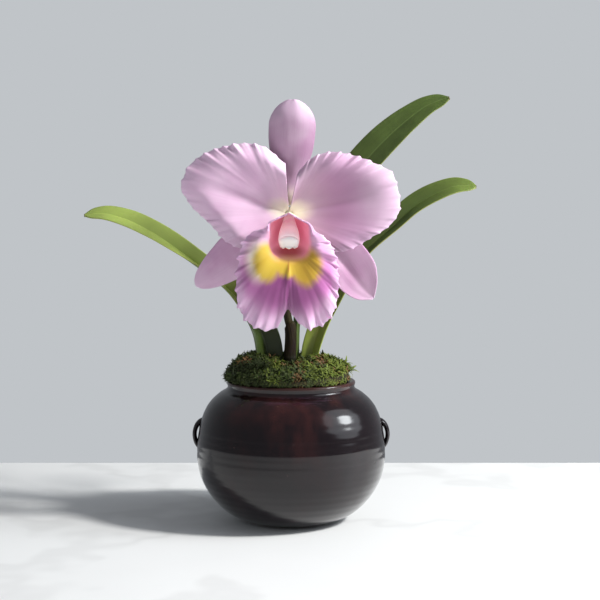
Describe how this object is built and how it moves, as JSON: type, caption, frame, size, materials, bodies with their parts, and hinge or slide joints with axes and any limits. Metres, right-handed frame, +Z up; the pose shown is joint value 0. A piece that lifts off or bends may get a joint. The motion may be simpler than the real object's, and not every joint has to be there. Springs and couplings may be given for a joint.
{
  "type": "potted cattleya orchid",
  "caption": "Cattleya orchid with a frilled bloom above strap leaves, rooted through a moss cushion in a round glazed jar.",
  "frame": {"origin": "centre of the underside of the jar's flat foot", "axes": "+Z up the flower stem, the bloom faces -Y, +X to the right as seen from the bloom's front"},
  "size_m": [0.2711, 0.1288, 0.2894],
  "materials": {
    "glaze": "gloss",
    "mix": "matte",
    "moss": "matte",
    "root": "matte",
    "stem": "satin",
    "leaf": "satin",
    "petal": "satin",
    "lip": "satin",
    "column": "satin",
    "cap": "satin"
  },
  "bodies": {
    "root": {"jar": "glaze", "potting_mix": "mix", "moss": "moss", "rhizome": "root", "flower_stem": "stem", "leaf_left": "leaf", "leaf_right_upper": "leaf", "leaf_right_lower": "leaf", "dorsal_sepal": "petal", "lateral_sepal_left": "petal", "lateral_sepal_right": "petal", "petal_left": "petal", "petal_right": "petal", "lip": "lip", "column": "column", "anther_cap": "cap"}
  },
  "joints": []
}
